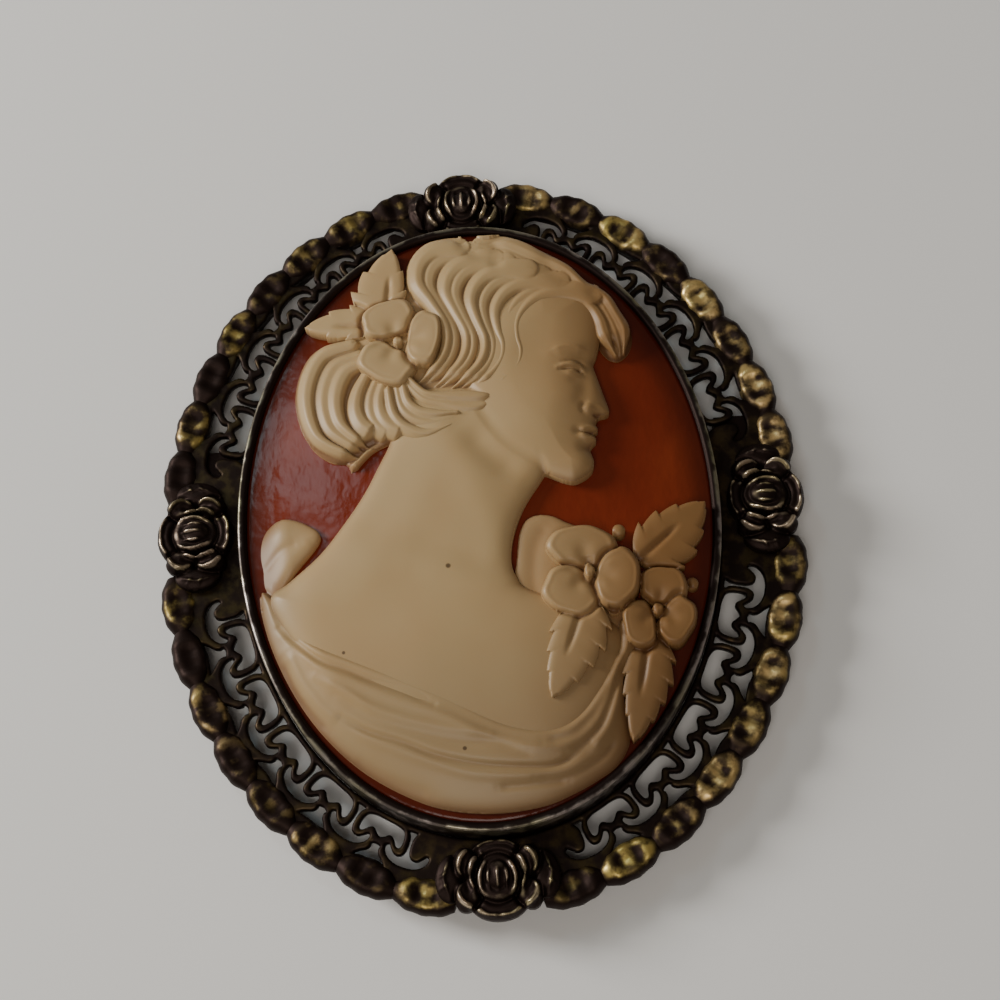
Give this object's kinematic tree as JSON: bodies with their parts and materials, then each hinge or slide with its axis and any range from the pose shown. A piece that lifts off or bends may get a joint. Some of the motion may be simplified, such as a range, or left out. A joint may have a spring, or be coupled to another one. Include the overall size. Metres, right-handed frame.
{
  "type": "cameo brooch",
  "caption": "Oval cameo brooch: carved two-layer shell in a bezel, set in a pierced scroll border with a scalloped rim and cast roses, with a pin across its hollow back.",
  "frame": {"origin": "middle of the flat underside of the rim, below the middle of the oval", "axes": "+X to the right of the carving, +Y to its top, +Z out of its face; the brooch lies on its back"},
  "size_m": [0.042, 0.0518, 0.0063],
  "materials": {
    "shell_ground": "polished red-brown layer of a shell",
    "shell_relief": "carved cream layer of a shell, satin",
    "bezel_metal": "old brass, worn bright on its edge",
    "frame_metal": "old brass, dark in the hollows and golden on the scallops",
    "rose_metal": "blackened old brass",
    "pin_metal": "plain old brass wire"
  },
  "bodies": {
    "root": {"cameo_ground": "shell_ground", "cameo_relief": "shell_relief", "bezel": "bezel_metal", "gallery_frame": "frame_metal", "rose_top": "rose_metal", "rose_right": "rose_metal", "rose_bottom": "rose_metal", "rose_left": "rose_metal", "back_pin": "pin_metal"}
  },
  "joints": []
}
